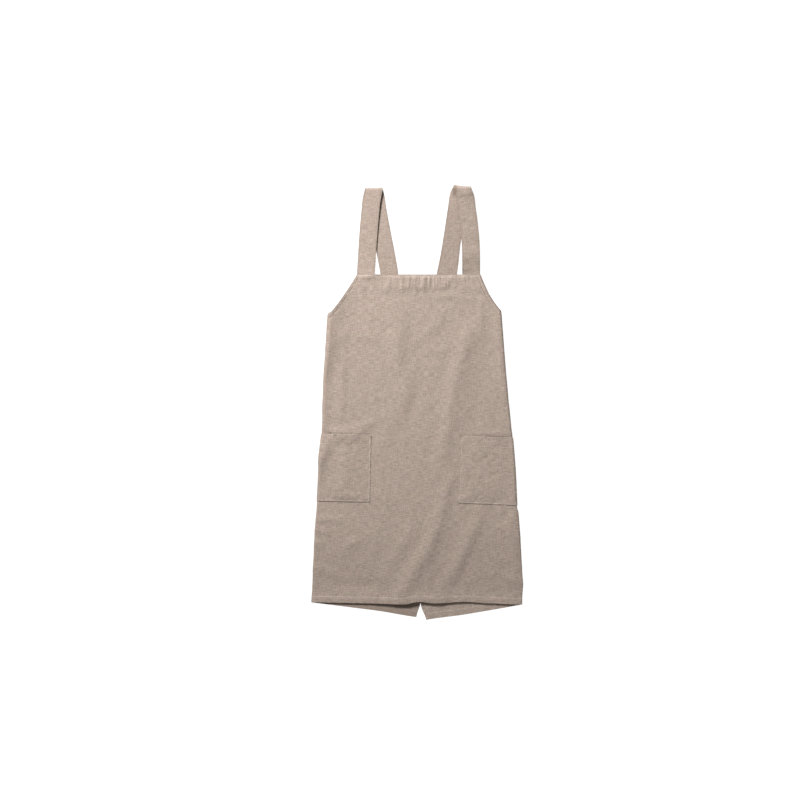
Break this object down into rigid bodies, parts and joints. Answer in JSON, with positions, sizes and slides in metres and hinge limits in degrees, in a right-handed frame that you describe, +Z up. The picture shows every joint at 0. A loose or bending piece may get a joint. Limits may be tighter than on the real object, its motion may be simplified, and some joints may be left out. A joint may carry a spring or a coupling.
{
  "type": "cross back apron",
  "caption": "Linen cross back apron lying flat, front up: square bib, wide straps folded over at the shoulders, side patch pockets and overlapping back panels.",
  "frame": {"origin": "on the surface that the apron lies on, under the middle of its box seen from above", "axes": "+Y from the hem up to the shoulder folds, +Z up from the surface that the apron lies on, +X to the right as the front is seen from above"},
  "size_m": [0.5578, 1.1296, 0.0156],
  "materials": {
    "linen": "matte plain weave linen",
    "strap_linen": "matte plain weave linen, doubled",
    "pocket_linen": "matte plain weave linen"
  },
  "bodies": {
    "root": {"body": "linen", "bib_facing": "linen", "strap_left": "strap_linen", "strap_right": "strap_linen", "pocket_left": "pocket_linen", "pocket_right": "pocket_linen"}
  },
  "joints": []
}
